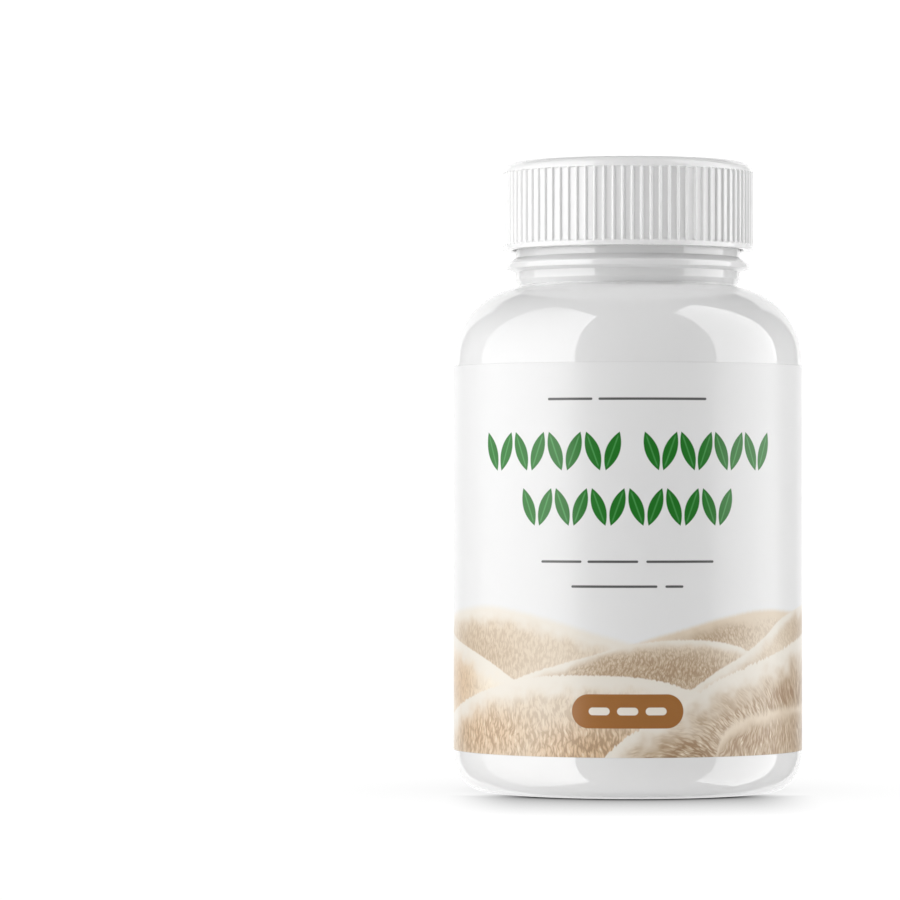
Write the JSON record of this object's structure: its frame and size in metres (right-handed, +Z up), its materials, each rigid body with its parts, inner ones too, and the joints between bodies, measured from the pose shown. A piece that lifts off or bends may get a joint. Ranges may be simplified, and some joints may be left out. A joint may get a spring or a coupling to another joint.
{
  "type": "supplement bottle",
  "caption": "Upright round plastic bottle with a sloping shoulder, a wrap label and a ribbed screw cap that turns and rises on its thread over a sealing liner.",
  "frame": {"origin": "centre of the bottle's foot, on the surface it stands on", "axes": "+Z up along the bottle's axis, and -Y towards the front of the label"},
  "size_m": [0.058, 0.058, 0.1044],
  "materials": {
    "bottle_plastic": "gloss",
    "cap_plastic": "gloss",
    "liner_foam": "matte",
    "label_film": "satin"
  },
  "bodies": {
    "bottle": {"bottle": "bottle_plastic", "label": "label_film"},
    "liner": {"liner": "liner_foam"},
    "cap": {"cap": "cap_plastic"}
  },
  "joints": [
    {"name": "cap_lift", "type": "slide", "parent": "bottle", "child": "liner", "axis": [0, 0, 1], "range_m": [0, 0.0053]},
    {"name": "cap_turn", "type": "hinge", "parent": "liner", "child": "cap", "pos_m": [0, 0, 0.0898], "axis": [0, 0, 1], "range_deg": [0, 450]}
  ],
  "couplings": [
    {"joint": "cap_lift", "follows": "cap_turn", "m_per_rad": 0.00067375}
  ]
}
